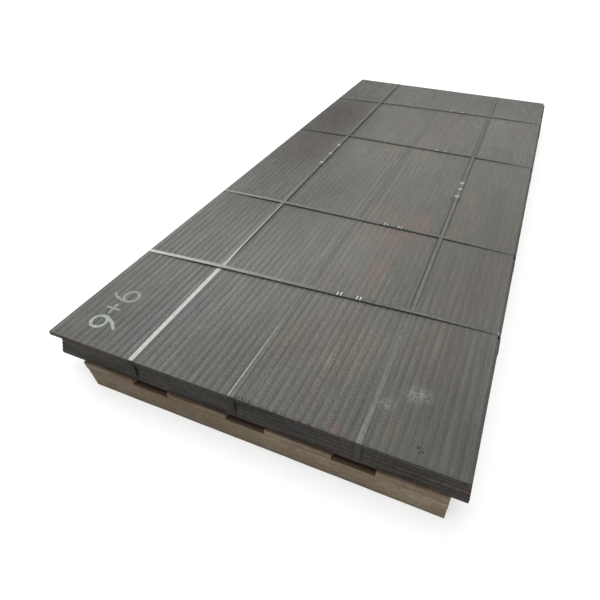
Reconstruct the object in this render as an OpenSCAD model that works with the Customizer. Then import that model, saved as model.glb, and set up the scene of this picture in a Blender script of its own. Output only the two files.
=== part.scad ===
// A strapped bundle of hardfaced steel wear plates lying on a timber skid.
// Each plate is a rolled base plate with a welded overlay: the weld beads run
// along its length and give its top a row of low scallops. Three straps run
// lengthwise round the plates, four run across round plates and deck, and
// every strap is closed with crimped seals.
// Millimetres. +X across the plates, +Y along the beads to the far end, +Z up.

/* [Plates] */
// Width of the top plate, across the weld beads
plate_w = 1400; // [1000:10:1600]
// How much narrower the second plate from the top is
under_trim = 30; // [24:1:60]
// How much wider each plate below that one is
step_w = 6; // [0:0.5:6]
// Length of a plate, along the weld beads
plate_l = 3400; // [2400:50:4000]
// Thickness of the rolled base plate
base_t = 8; // [5:0.5:12]
// Thickness of the welded overlay, measured in its grooves
overlay_t = 7; // [4:0.5:10]
// Height of a bead's crown above the grooves
crown = 1; // [0.6:0.1:1.4]
// Weld beads laid side by side across a plate
beads = 51; // [40:1:60]
// How far the second plate from the top sticks out on the right
slip_x = 10; // [4:1:30]
// How much further each plate below that one sticks out
step_x = 2; // [0:0.5:4]
// How far the second plate from the top has slid lengthwise
slip_y = 12; // [5:1:20]
// How much less each plate below that one has slid lengthwise
step_y = 1; // [0:0.1:1.2]

/* [Skid] */
// How far the top plate overhangs the skid on the left
overhang_left = 120; // [60:1:150]
// How far the top plate overhangs the skid on the right
overhang_right = 27; // [10:1:100]
// Height of a bearer
bearer_h = 75; // [60:1:100]
// Width of a bearer
bearer_w = 100; // [70:1:140]
// Thickness of a deck board
deck_t = 25; // [18:1:35]
// Open width between two deck boards
deck_gap = 134; // [110:1:160]
// How far the skid's front is set back from the top plate's edge
front_set = 1; // [0:1:20]
// How far the front bearer's left end slants in from the deck's top to the floor
end_slant = 35; // [0:1:60]

/* [Straps] */
// Width of the strap
strap_w = 19; // [13:1:25]
// Thickness of the strap
strap_t = 0.8; // [0.5:0.1:1.2]
// How far the left lengthwise strap lies from the top plate's left edge
strap_left = 322; // [250:1:360]
// How far the right lengthwise strap lies from the top plate's right edge
strap_right = 315; // [250:1:360]
// How far the straps stand clear of the plate between its ends
span_lift = 4.5; // [1:0.5:8]
// How far from the near end the outer lengthwise straps lie flat on the plate
flat_run = 600; // [200:10:900]
// How far a lap runs past the last seal at either end
lap_tail = 30; // [20:1:60]
// Turn of the left lengthwise strap, degrees
turn_left = 0.54; // [0:0.01:0.7]
// Turn of the right lengthwise strap, degrees
turn_right = 0.63; // [0:0.01:0.8]
// Turn of the nearest cross strap, degrees
turn_near = 2.85; // [0:0.05:3.5]
// Turn of the farthest cross strap, degrees
turn_far = 2.3; // [0:0.1:3.5]

/* [Seals] */
// Length of a seal along its strap
seal_l = 30; // [24:1:36]
// Thickness of the seal's sheet
seal_t = 0.7; // [0.5:0.05:0.9]
// Distance between a seal's two pressed ridges
ridge_gap = 13; // [10:0.5:16]
// Radius of a pressed ridge
ridge_r = 1.6; // [1.2:0.1:2]

/* [Hidden] */
$fn = 48;

// How far a cutter, or stock that is trimmed to size, runs past the face.
over = 1;

// Levels: deck underside, plates' underside, a plate's thickness, top crest.
z_deck = bearer_h;
z_plates = bearer_h + deck_t;
plate_t = base_t + overlay_t + crown;
z_top = z_plates + 6 * plate_t;

// The plates under the top one, bottom plate first: how far each sticks out past
// it on the right and at the far end, and how much narrower it is.
out_x = [for (i = [4 : -1 : 0]) slip_x + i * step_x];
out_y = [for (i = [4 : -1 : 0]) slip_y - i * step_y];
trim = [for (i = [4 : -1 : 0]) under_trim - i * step_w];

// The top plate's middle, placed so that the whole box is centred.
x0 = -out_x[0] / 2;
y0 = -slip_y / 2;
half_w = plate_w / 2;
half_l = plate_l / 2;

// Skid layout.
skid_l = plate_l;
skid_x0 = x0 - half_w + overhang_left;
skid_x1 = x0 + half_w - overhang_right;
skid_y0 = y0 - half_l + front_set;
bearer_step = (skid_l - bearer_w) / 4;

// Lengthwise straps: place at mid length and turn, left to right. The middle
// one lies a little off the plates' middle line.
middle_off = 11;
long_x = [x0 - half_w + strap_left, x0 + middle_off, x0 + half_w - strap_right];
long_turn = [turn_left, -0.26, turn_right];

// Deck gaps: the left side of each, at the front, leaves its strap some room.
room = [3, 24, 46];
reach = half_l - front_set;
gap_1 = long_x[0] + reach * tan(turn_left) - strap_w / 2 - room[0];
gap_2 = long_x[1] - strap_w / 2 - room[1];
gap_3 = long_x[2] - strap_w / 2 - room[2];

// Gap under a strap where the folded edges of its seals lie, and the length over
// which a lengthwise strap rises to its full height.
lip_clear = 0.05;
lip = seal_t + lip_clear;
rise = 150;
z_long = z_top + lip + span_lift;
z_cross = z_long + strap_t;

// Cross straps: each lies in a bay of its own between two bearers, at this
// share of the way across the bay on the plates' middle line, near to far.
bay_share = [0.656, 0.361, 0.54, 0.443];
cross_y = [for (i = [0 : 3]) skid_y0 + bearer_w / 2 + (i + bay_share[i]) * bearer_step];
cross_turn = [turn_near, 0, 0, turn_far];

// First seal of each cross strap, from the plates' middle line, and its pair.
cross_seal = [128, 142, 168, 113];
pair_step = [75, 65, 50, 77];
// Seals on the left and right lengthwise straps, from mid length.
left_seal = [-9, 129, 271];
right_seal = [-105, -18, 58];
// The middle strap's seal, out of sight under the plates.
middle_seal = 420;

// Moves every corner of an outline, given clockwise, outward by t.
function outward(a, b) = [-(b - a)[1], (b - a)[0]] / norm(b - a);
function grow(p, t) = [
    for (i = [0 : len(p) - 1])
        let (
            a = p[(i + len(p) - 1) % len(p)],
            b = p[i],
            c = p[(i + 1) % len(p)],
            m = outward(a, b),
            n = outward(b, c)
        )
        b + t * (m + n) / (1 + m * n)
];

// Outer corners of the stack seen along a strap's plane: k and m widen the
// outline for a turned strap and half is the top plate's half size in that
// direction. The low end is the left or near one, where the bottom plate lies
// inset; at the high end the plates under the top one stick out.
function stack_lo(half, inset, k, m) = [
    [-(half - inset) * k - m, z_plates],
    [-half * k - m, z_top - plate_t],
    [-half * k - m, z_top]
];
function stack_hi(half, out, k, m) = [
    [half * k + m, z_top],
    [(half + out[4]) * k + m, z_top - plate_t],
    [(half + max(out)) * k + m, out[0] < out[4] ? z_top - 2 * plate_t : z_plates + plate_t],
    [(half + out[0]) * k + m, z_plates]
];

// A closed strap in its own upright plane, with its lap of double thickness.
module strap(inner, lap) {
    color([0.62, 0.63, 0.64])
    union() {
        rotate([90, 0, 0])
            linear_extrude(height = strap_w, center = true)
                difference() {
                    polygon(grow(inner, strap_t));
                    polygon(inner);
                }
        translate([lap[0], -strap_w / 2, lap[2]])
            cube([lap[1] - lap[0], strap_w, 1.5 * strap_t]);
    }
}

// A crimped seal folded round both layers of a lap; its strap runs along X
// and the lower layer's underside is at z = 0. Two ridges are pressed across
// its top and the crimping jaws leave a dent at each end of a ridge.
side_clear = 0.1;
ridge_h = 1;
dent = 0.5;
dent_r = 2.2;
module seal() {
    in_w = strap_w + 2 * side_clear;
    in_h = 2 * strap_t;
    out_w = in_w + 2 * seal_t;
    out_h = in_h + 2 * seal_t;
    slot_w = strap_w / 3;
    color([0.72, 0.73, 0.74])
    difference() {
        union() {
            translate([-seal_l / 2, -out_w / 2, -seal_t])
                cube([seal_l, out_w, out_h]);
            for (s = [-1, 1])
                translate([s * ridge_gap / 2, 0, in_h + seal_t + ridge_h - ridge_r])
                    rotate([90, 0, 0])
                        cylinder(r = ridge_r, h = out_w - 2 * dent, center = true);
        }
        translate([-seal_l / 2 - over, -in_w / 2, 0])
            cube([seal_l + 2 * over, in_w, in_h]);
        translate([-seal_l / 2 - over, -slot_w / 2, -seal_t - over])
            cube([seal_l + 2 * over, slot_w, seal_t + 2 * over]);
        for (s = [-1, 1])
            for (e = [-1, 1])
                translate([s * ridge_gap / 2, e * (out_w / 2 + dent_r - dent), -seal_t - over])
                    cylinder(r = dent_r, h = out_h + 2 * over);
    }
}

// One plate of width w with its left edge at x = 0: the scalloped section drawn
// across, run along the beads. A bead is the arc that stands crown high over
// one pitch.
module plate(w) {
    pitch = w / beads;
    bead_r = (pitch * pitch / 4 + crown * crown) / (2 * crown);
    color([0.42, 0.42, 0.41])
    rotate([90, 0, 0])
    linear_extrude(height = plate_l)
    intersection() {
        square([w, plate_t + crown]);
        union() {
            translate([-over, 0])
                square([w + 2 * over, base_t + overlay_t / 2]);
            for (k = [0 : beads - 1])
                intersection() {
                    translate([(k + 0.5) * pitch, plate_t - bead_r])
                        circle(r = bead_r, $fn = 360);
                    translate([(k - 0.2) * pitch, base_t])
                        square([1.4 * pitch, overlay_t + 2 * crown]);
                }
        }
    }
}

module top_plate() {
    translate([x0 - half_w, y0 + half_l, z_top - plate_t])
        plate(plate_w);
}

// A plate under the top one, counted from the bottom.
module under_plate(i) {
    w = plate_w - trim[i];
    translate([x0 + half_w + out_x[i] - w, y0 + half_l + out_y[i], z_plates + i * plate_t])
        plate(w);
}

// Places a child in a lengthwise strap's plane: its X runs along the plate.
module on_long(i) {
    translate([long_x[i], y0, 0])
        rotate([0, 0, 90 + long_turn[i]])
            children();
}

// Places a child in a cross strap's plane: its X runs across the plate.
module on_cross(i) {
    translate([x0, cross_y[i], 0])
        rotate([0, 0, cross_turn[i]])
            children();
}

module long_strap(i, under) {
    k = 1 / cos(long_turn[i]);
    m = strap_w / 2 * tan(abs(long_turn[i]));
    lo = stack_lo(half_l, out_y[0], k, m);
    hi = stack_hi(half_l, out_y, k, m);
    foot = flat_run - half_l;
    z_low = z_plates - lip;
    top = under ? [] : [[foot, z_top], [foot + rise, z_long], [half_l - rise, z_long]];
    bottom = under ? [[middle_seal + rise, z_low], [middle_seal - rise, z_low]] : [];
    seals = under ? [middle_seal] : i == 0 ? left_seal : right_seal;
    z_lap = under ? z_low - 2 * strap_t : z_long + strap_t / 2;
    lap = [min(seals) - lap_tail, max(seals) + lap_tail, z_lap];
    on_long(i) strap(concat(lo, top, hi, bottom), lap);
}

module cross_strap(i) {
    k = 1 / cos(cross_turn[i]);
    m = strap_w / 2 * tan(abs(cross_turn[i]));
    lo = stack_lo(half_w, out_x[0] + trim[0], k, m);
    hi = stack_hi(half_w, out_x, k, m);
    tilt = tan(cross_turn[i]);
    y_left = cross_y[i] - half_w * tilt + strap_w;
    deck_left = skid_x0 - (y_left - skid_y0) * tan(turn_left);
    top = [[long_x[0] - x0 - 2 * strap_w, z_cross], [long_x[2] - x0 + 2 * strap_w, z_cross]];
    bottom = [[(skid_x1 - x0) * k + m, z_deck], [(deck_left - x0) * k - m, z_deck]];
    first = cross_seal[i];
    lap = [first - lap_tail, first + pair_step[i] + lap_tail, z_cross + strap_t / 2];
    on_cross(i) strap(concat(lo, top, hi, bottom), lap);
}

module seal_long(i, y) {
    on_long(i) translate([y, 0, z_long]) seal();
}

module seal_cross(i, s) {
    on_cross(i) translate([cross_seal[i] + s * pair_step[i], 0, z_cross]) seal();
}

module board(a, b, turn) {
    color([0.55, 0.47, 0.37])
    translate([b, skid_y0, z_deck])
        rotate([0, 0, turn])
            translate([a - b, 0, 0])
                cube([b - a, skid_l, deck_t]);
}

// A bearer, counted from the front, whose left end slants in by this much from
// the deck's top to the floor.
module bearer(i, slant) {
    color([0.52, 0.44, 0.34])
    translate([0, skid_y0 + i * bearer_step + bearer_w, 0])
        rotate([90, 0, 0])
            linear_extrude(height = bearer_w)
                polygon([
                    [skid_x0 + slant, 0],
                    [skid_x1, 0],
                    [skid_x1, bearer_h],
                    [skid_x0 + slant * deck_t / z_plates, bearer_h]
                ]);
}

module plate_1() { under_plate(0); }
module plate_2() { under_plate(1); }
module plate_3() { under_plate(2); }
module plate_4() { under_plate(3); }
module plate_5() { under_plate(4); }
module plate_6() { top_plate(); }
module long_strap_left() { long_strap(0, false); }
module long_strap_middle() { long_strap(1, true); }
module long_strap_right() { long_strap(2, false); }
module cross_strap_1() { cross_strap(0); }
module cross_strap_2() { cross_strap(1); }
module cross_strap_3() { cross_strap(2); }
module cross_strap_4() { cross_strap(3); }
module seal_long_left_near() { seal_long(0, left_seal[0]); }
module seal_long_left_mid() { seal_long(0, left_seal[1]); }
module seal_long_left_far() { seal_long(0, left_seal[2]); }
module seal_long_middle() {
    on_long(1)
        translate([middle_seal, 0, z_plates - lip])
            rotate([180, 0, 0])
                seal();
}
module seal_long_right_near() { seal_long(2, right_seal[0]); }
module seal_long_right_mid() { seal_long(2, right_seal[1]); }
module seal_long_right_far() { seal_long(2, right_seal[2]); }
module seal_cross_1_left() { seal_cross(0, 0); }
module seal_cross_1_right() { seal_cross(0, 1); }
module seal_cross_2_left() { seal_cross(1, 0); }
module seal_cross_2_right() { seal_cross(1, 1); }
module seal_cross_3_left() { seal_cross(2, 0); }
module seal_cross_3_right() { seal_cross(2, 1); }
module seal_cross_4_left() { seal_cross(3, 0); }
module seal_cross_4_right() { seal_cross(3, 1); }
module deck_board_1() { board(skid_x0, gap_1, turn_left); }
module deck_board_2() { board(gap_1 + deck_gap, gap_2, 0); }
module deck_board_3() { board(gap_2 + deck_gap, gap_3, 0); }
module deck_board_4() { board(gap_3 + deck_gap, skid_x1, 0); }
module bearer_1() { bearer(0, end_slant); }
module bearer_2() { bearer(1, 0); }
module bearer_3() { bearer(2, 0); }
module bearer_4() { bearer(3, 0); }
module bearer_5() { bearer(4, 0); }

plate_1();
plate_2();
plate_3();
plate_4();
plate_5();
plate_6();
long_strap_left();
long_strap_middle();
long_strap_right();
cross_strap_1();
cross_strap_2();
cross_strap_3();
cross_strap_4();
seal_long_left_near();
seal_long_left_mid();
seal_long_left_far();
seal_long_middle();
seal_long_right_near();
seal_long_right_mid();
seal_long_right_far();
seal_cross_1_left();
seal_cross_1_right();
seal_cross_2_left();
seal_cross_2_right();
seal_cross_3_left();
seal_cross_3_right();
seal_cross_4_left();
seal_cross_4_right();
deck_board_1();
deck_board_2();
deck_board_3();
deck_board_4();
bearer_1();
bearer_2();
bearer_3();
bearer_4();
bearer_5();
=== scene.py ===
# Looks of a strapped bundle of overlay-welded wear plates lying on a timber skid.
# Metres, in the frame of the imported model: +X across the plates, +Y along the
# weld beads to the far end, +Z up.
import math

import bmesh
import bpy
import numpy as np
from mathutils import Matrix, Vector
from numpy.linalg import norm


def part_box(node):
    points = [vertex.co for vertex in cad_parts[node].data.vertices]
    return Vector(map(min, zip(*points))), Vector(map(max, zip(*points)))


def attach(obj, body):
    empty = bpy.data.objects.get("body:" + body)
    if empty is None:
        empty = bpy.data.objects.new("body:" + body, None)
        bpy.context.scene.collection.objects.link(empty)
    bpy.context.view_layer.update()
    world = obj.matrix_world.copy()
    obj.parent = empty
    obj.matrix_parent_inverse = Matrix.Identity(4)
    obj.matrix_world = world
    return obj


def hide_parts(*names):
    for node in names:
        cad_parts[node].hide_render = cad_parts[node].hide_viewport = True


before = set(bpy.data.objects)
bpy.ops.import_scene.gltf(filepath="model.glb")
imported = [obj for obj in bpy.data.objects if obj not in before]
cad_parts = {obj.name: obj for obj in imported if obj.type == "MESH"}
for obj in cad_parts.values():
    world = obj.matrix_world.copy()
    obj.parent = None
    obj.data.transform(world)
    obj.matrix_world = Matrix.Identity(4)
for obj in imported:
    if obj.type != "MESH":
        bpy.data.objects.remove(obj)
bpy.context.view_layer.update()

# View of the photograph, which is 600 pixels square.
CAMERA_PLACE = (0.5751, -2.5605, 1.3656)
CAMERA_YAW = math.radians(-22.94)
CAMERA_PITCH = math.radians(38.25)
CAMERA_ROLL = math.radians(1.12)
CAMERA_LENS_MM = 30.73
CAMERA_SENSOR_MM = 36.0
CAMERA_REACH = 200.0

# Light: a soft sun overhead and a panel behind on the left. The floor glows to show white.
SUN_STRENGTH = 1.75
SUN_SPREAD = math.radians(55)
SUN_TILT = math.radians(4)
PANEL_POWER = 190.0
PANEL_SIZE = (6.2, 2.44)
PANEL_AIM = (-0.4, -1.2, 0.2)
PANEL_TURN = math.radians(57)
PANEL_RISE = math.radians(33.5)
PANEL_DISTANCE = 6.0
FLOOR_REACH = 40.0
FLOOR_DROP = 0.0004
FLOOR_GLOW = 0.6

# Weld overlay: beads side by side across a plate, the height of one, the share of the
# plate that is its base, how far a groove wanders and a crest drops, the ripples of the
# weld pool, and the lumps in a metre along each axis.
BEADS = 51
CROWN = 0.001
BASE_SHARE = 0.5
GROOVE_WANDER = 0.0014
CREST_DROP = 0.00035
RIPPLE_PITCH = 0.0045
LUMPS = (150.0, 75.0, 150.0)
# Columns of mesh across a bead: share of its width, and its painted light and shade.
# A bead is darkest in its groove, partly dark oxide and partly painted shade, and lightest just past
# it.
FINE_COLUMNS = [
    (0.0, -1.0), (0.08, -0.7), (0.22, 0.35), (0.36, 0.95),
    (0.5, 0.5), (0.66, 0.2), (0.82, -0.1), (0.93, -0.7),
]
PLAIN_COLUMNS = [(0.0, 0.0), (0.25, 0.0), (0.5, 0.0), (0.75, 0.0)]
# Rows of mesh along the top plate and along those under it.
TOP_ROWS = 200
LOWER_ROWS = 70
# Rings of mesh down the edges of a plate: share of its thickness, and depth of the cut.
EDGE_RINGS = [
    (0.1, 0.0004), (BASE_SHARE - 0.03, 0.0007), (BASE_SHARE + 0.03, 0.0011), (1.0, 0.0005),
]
# Walk from one point of the rim to the next, and least drop from the rim to a ring.
RIM_STEP = 0.004
RIM_GAP = 0.0003
# Dirt fills the grooves of the plates that lie under another one, and their cut edges are
# less rough. Their sheared near edges lean out at the foot, to the plate below, more at
# the left end than at the right.
FILLED_CROWN = 0.0003
LOWER_WEAR = 0.15
EDGE_LEAN_LEFT = 0.0009
EDGE_LEAN_RIGHT = 0.0003

# Timber: eased edges, steps of mesh along it and round it, bow, and the waves and fuzz
# that the saw left. The first deck board slants in by the tuck.
TIMBER_EASE = 0.0022
TIMBER_STEP = 0.03
SECTION_STEP = 0.02
TIMBER_BOW = 0.0006
SAW_WAVE = 0.0004
SAW_FUZZ = 0.0003
DECK_TUCK = 0.00875

# Straps: radius of a bend, places of mesh round it and the most of a side that it takes
# up, step of mesh along the strap, places of mesh along its lap, eased edges, duller
# borders, roll and sway.
STRAP_BEND = 0.004
BEND_PLACES = 6
BEND_SHARE = 0.4
STRAP_STEP = 0.02
LAP_PLACES = 12
STRAP_EASE = 0.00015
STRAP_BORDER = 0.0025
STRAP_ROLL = 0.02
STRAP_SWAY = 0.0005
# Seals: eased edges, and the place of the two ridges as a share of length from the middle.
SEAL_EASE = 0.0002
SEAL_RIDGE = 0.217
# Points of a solid this close in height are level, and points of a line this close are one.
SAME_LEVEL = 1e-4
SAME_PLACE = 1e-5

# Seeds of the random draws. The number of the piece is added.
PLATE_SEED = 10
STRAP_SEED = 21
MARK_SEED = 41
BOARD_SEED = 50
BEARER_SEED = 60

# Sockets of a mix node that take and give colours.
MIX_FIRST = 6
MIX_SECOND = 7
MIX_RESULT = 2

PLATES = [f"plate_{number}" for number in range(1, 7)]
TOP_PLATE = "plate_6"
BOARDS = [f"deck_board_{number}" for number in range(1, 5)]
BEARERS = [f"bearer_{number}" for number in range(1, 6)]
SEALS = [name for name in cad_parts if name.startswith("seal_")]


def linear(level):
    """Linear light of one 0 to 255 display level."""
    share = level / 255
    return share / 12.92 if share <= 0.04045 else ((share + 0.055) / 1.055) ** 2.4


def shade(red, green, blue):
    """Colour as a node takes it, from display levels."""
    return (linear(red), linear(green), linear(blue), 1.0)


class Graph:
    """The node tree of a material or of the world, written as nested calls.

    A tuple (value, low, high, start, end) that begins with a socket stands for a ramp of it.
    """

    def __init__(self, name, world=False):
        self.owner = (bpy.data.worlds if world else bpy.data.materials).new(name)
        self.owner.use_nodes = True
        self.nodes = self.owner.node_tree.nodes
        self.links = self.owner.node_tree.links
        self.nodes.clear()
        self.output = self.nodes.new("ShaderNodeOutputWorld" if world else "ShaderNodeOutputMaterial")
        self.place = self.add("TexCoord", {}, "Object")
        self.colour = None
        self.normal = None

    def put(self, socket, value):
        """Links or sets one input."""
        if isinstance(value, tuple) and isinstance(value[0], bpy.types.NodeSocket):
            value = self.ramp(*value)
        if isinstance(value, bpy.types.NodeSocket):
            self.links.new(value, socket)
        else:
            socket.default_value = value

    def add(self, kind, inputs, output=0, **settings):
        """One output of a new node of this kind."""
        node = self.nodes.new("ShaderNode" + kind)
        for name, value in settings.items():
            setattr(node, name, value)
        for name, value in inputs.items():
            self.put(node.inputs[name], value)
        return node.outputs[output]

    def show(self, shader):
        """Ends the tree in this shader."""
        self.links.new(shader, self.output.inputs["Surface"])
        return self.owner

    def attribute(self, name, output="Fac"):
        return self.add("Attribute", {}, output, attribute_name=name)

    def axis(self, name, where=None):
        return self.add("SeparateXYZ", {0: where or self.place}, name)

    def stretch(self, scale, shift=(0.0, 0.0, 0.0), where=None):
        return self.add("Mapping", {"Vector": where or self.place, "Scale": scale, "Location": shift})

    def noise(self, scale, detail=3.0, roughness=0.55, where=None):
        """Cloudy noise about 0.5, with this many blotches in a metre along each axis."""
        place = self.stretch(scale, where=where)
        inputs = {"Vector": place, "Scale": 1.0, "Detail": detail, "Roughness": roughness}
        return self.add("TexNoise", inputs, "Fac")

    def math(self, operation, first, second=0.0):
        return self.add("Math", {0: first, 1: second}, operation=operation)

    def chain(self, operation, *values):
        """One operation on several values, from the first to the last."""
        result = values[0]
        for value in values[1:]:
            result = self.math(operation, result, value)
        return result

    def times(self, *values):
        return self.chain("MULTIPLY", *values)

    def plus(self, *values):
        return self.chain("ADD", *values)

    def minus(self, first, second):
        return self.math("SUBTRACT", first, second)

    def length(self, vector):
        return self.add("VectorMath", {0: vector}, "Value", operation="LENGTH")

    def ramp(self, value, low, high, start=0.0, end=1.0):
        """Smooth step of a value from start at low to end at high."""
        inputs = {"Value": value, "From Min": low, "From Max": high, "To Min": start, "To Max": end}
        return self.add("MapRange", inputs, "Result", interpolation_type="SMOOTHSTEP")

    def mix(self, share, first, second):
        inputs = {0: share, MIX_FIRST: first, MIX_SECOND: second}
        return self.add("Mix", inputs, MIX_RESULT, data_type="RGBA")

    def tint(self, share, *levels):
        """Mixes another colour in."""
        self.colour = self.mix(share, self.colour, shade(*levels))

    def dim(self, level):
        """Multiplies the colour by a grey level."""
        self.colour = self.add("VectorMath", {0: self.colour, "Scale": level}, operation="SCALE")

    def spot(self, x, y, radius_x, radius_y, soft):
        """Oval mask on the top surface, which fades from this share of its radius to its rim."""
        scale = (1 / radius_x, 1 / radius_y, 0.0)
        shift = (-x / radius_x, -y / radius_y, 0.0)
        return self.ramp(self.length(self.stretch(scale, shift)), soft, 1.0, 1.0, 0.0)

    def marks(self, places, levels, broken=1.0, soft=0.0):
        """Mixes in oval marks of another colour, broken up by a share from 0 to 1."""
        for x, y, radius_x, radius_y, strength in places:
            spot = self.spot(x, y, radius_x, radius_y, soft)
            self.tint(self.times(spot, strength, broken), *levels)

    def bump(self, height, depth):
        """Adds relief of this depth."""
        inputs = {"Height": height, "Distance": depth}
        if self.normal:
            inputs["Normal"] = self.normal
        self.normal = self.add("Bump", inputs)

    def finish(self, roughness, metallic=0.0, specular=0.5):
        """Surface shader; metallic and specular are the same all over."""
        inputs = {
            "Base Color": self.colour, "Roughness": roughness, "Normal": self.normal,
            "Metallic": metallic, "Specular IOR Level": specular,
        }
        return self.show(self.add("BsdfPrincipled", inputs))


def overlay_material():
    """Oxidised weld overlay: bead streaks, dark grooves, ripples, brown patches, painted light and
    shade.
    """
    graph = Graph("overlay")
    bead, tone, band = graph.attribute("bead"), graph.attribute("tone"), graph.attribute("band")
    x, y = graph.axis("X"), graph.axis("Y")
    cloud = graph.noise((9.0, 3.5, 9.0), detail=4.0)
    streak = graph.noise((210.0, 4.5, 210.0), roughness=0.6)
    lump = graph.noise(LUMPS, roughness=0.6)
    grain = graph.noise((190.0, 125.0, 190.0), roughness=0.75)
    graph.colour = graph.mix((cloud, 0.3, 0.7), shade(94, 97, 91), shade(103, 105, 98))

    # Single beads are browner or greener than their neighbours.
    hue = graph.noise((36.0, 2.6, 36.0), detail=2.0)
    hue = graph.times((hue, 0.46, 0.66, 0.0, 0.5), (x, 0.35, 0.6, 1.0, 0.5))
    graph.tint(hue, 105, 97, 95)

    # Patches of oxide, scuffs and spots, and light patches of painted sheen, some of them
    # broken up by the finer noise.
    patch = graph.noise((2.3, 1.1, 2.3), detail=4.0, roughness=0.6)
    graph.tint((patch, 0.5, 0.66, 0.0, 0.5), 104, 97, 92)
    graph.marks(VIOLET_PATCHES, (99, 97, 103), cloud)
    graph.marks(BROWN_PATCHES, (112, 99, 91), cloud)
    graph.marks(OCHRE_PATCHES, (124, 103, 85), (streak, 0.38, 0.62))
    graph.marks(DARK_PATCHES, (75, 69, 66))
    graph.marks(SHEEN_PATCHES, (118, 115, 109))
    graph.marks(SCUFFS, (150, 149, 144), (lump, 0.3, 0.7))
    graph.marks(RUST_SPOTS, (134, 86, 84), (lump, 0.3, 0.6))
    graph.marks(DARK_SPOTS, (52, 52, 50), soft=0.35)

    # On its left half the near edge has a thin paler line along it: a painted highlight.
    low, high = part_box(TOP_PLATE)
    left, near, right = low.x, low.y, high.x
    edge_highlight = graph.times((y, near + 0.002, near + 0.008, 0.5, 0.0), (x, -0.5, 0.1, 1.0, 0.0))
    graph.tint(edge_highlight, 112, 104, 103)

    # In the middle that edge is burnt and uneven.
    burnt = graph.times(
        (y, near + 0.002, near + 0.014, 0.8, 0.0),
        (graph.noise((110.0, 40.0, 110.0), detail=2.0), 0.45, 0.6),
        (x, -0.06, 0.02),
        (x, 0.2, 0.45, 1.0, 0.1),
    )
    graph.tint(burnt, 58, 54, 51)

    # Light and dark of each bead, its fine streaks, and darker towards the near end, the left
    # side and the far end, with a dark rim and a paler strip along the left edge. Painted shade
    # darkens the near right corner. The right edge is rubbed pale, most at the near end.
    grit = graph.times((grain, 0.32, 0.68, -0.26, 0.26), (x, 0.2, 0.6, 1.0, 0.5))
    corner = graph.times((x, 0.3, 0.65, 0.0, 0.13), (y, -1.3, 0.6, 1.0, -0.2))
    border = graph.plus(
        (x, left + 0.003, left + 0.008, 0.8, 1.14),
        (x, left + 0.012, left + 0.02, 0.0, -0.14),
    )
    edge_strip = graph.times(
        (x, right - 0.012, right - 0.007, 0.0, 0.24),
        (y, near + 0.2, near + 1.2, 1.0, 0.3),
    )
    level = graph.times(
        (tone, 0.0, 1.0, 0.965, 1.035),
        (streak, 0.25, 0.75, 0.90, 1.10),
        (lump, 0.25, 0.75, 0.94, 1.06),
        graph.plus(grit, 1.0),
        (y, near, near + 0.65, 0.79, 1.0),
        (x, -0.7, -0.2, 0.77, 1.06),
        (y, 1.0, 1.6, 1.0, 0.89),
        graph.minus(1.0, corner),
        border,
        graph.plus(edge_strip, 1.0),
    )

    # Beads show painted light and shade of their relief as light and dark bands, most on the
    # left and towards the near end. A few beads by the middle strap stand out all the way along.
    reach = graph.minus(y, (x, -0.5, -0.1, 0.2, 0.0))
    relief = graph.times(
        (x, -0.5, 0.2, 0.30, 0.18),
        (x, 0.35, 0.6, 1.0, 0.7),
        (reach, -1.35, -0.6, 1.0, 0.28),
    )
    clear = graph.times(graph.spot(0.010, 0.0, 0.10, 1.0, 0.5), 0.09)
    band = graph.plus(graph.times(band, graph.plus(relief, clear)), 1.0)
    graph.dim(graph.times(level, band))

    # Crescent ripples of the weld pool, a few millimetres apart.
    turns = graph.times(y, 2 * math.pi / RIPPLE_PITCH)
    phase = graph.plus(turns, graph.times(bead, 9.0), graph.times(streak, 14.0))
    graph.bump(graph.math("SINE", phase), 0.00012)
    for height, depth in ((grain, 0.0003), (lump, 0.0007), (streak, 0.0006)):
        graph.bump(height, depth)
    wear = graph.noise((40.0, 12.0, 40.0), detail=4.0)
    return graph.finish((wear, 0.3, 0.7, 0.38, 0.52), specular=0.22)


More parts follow.
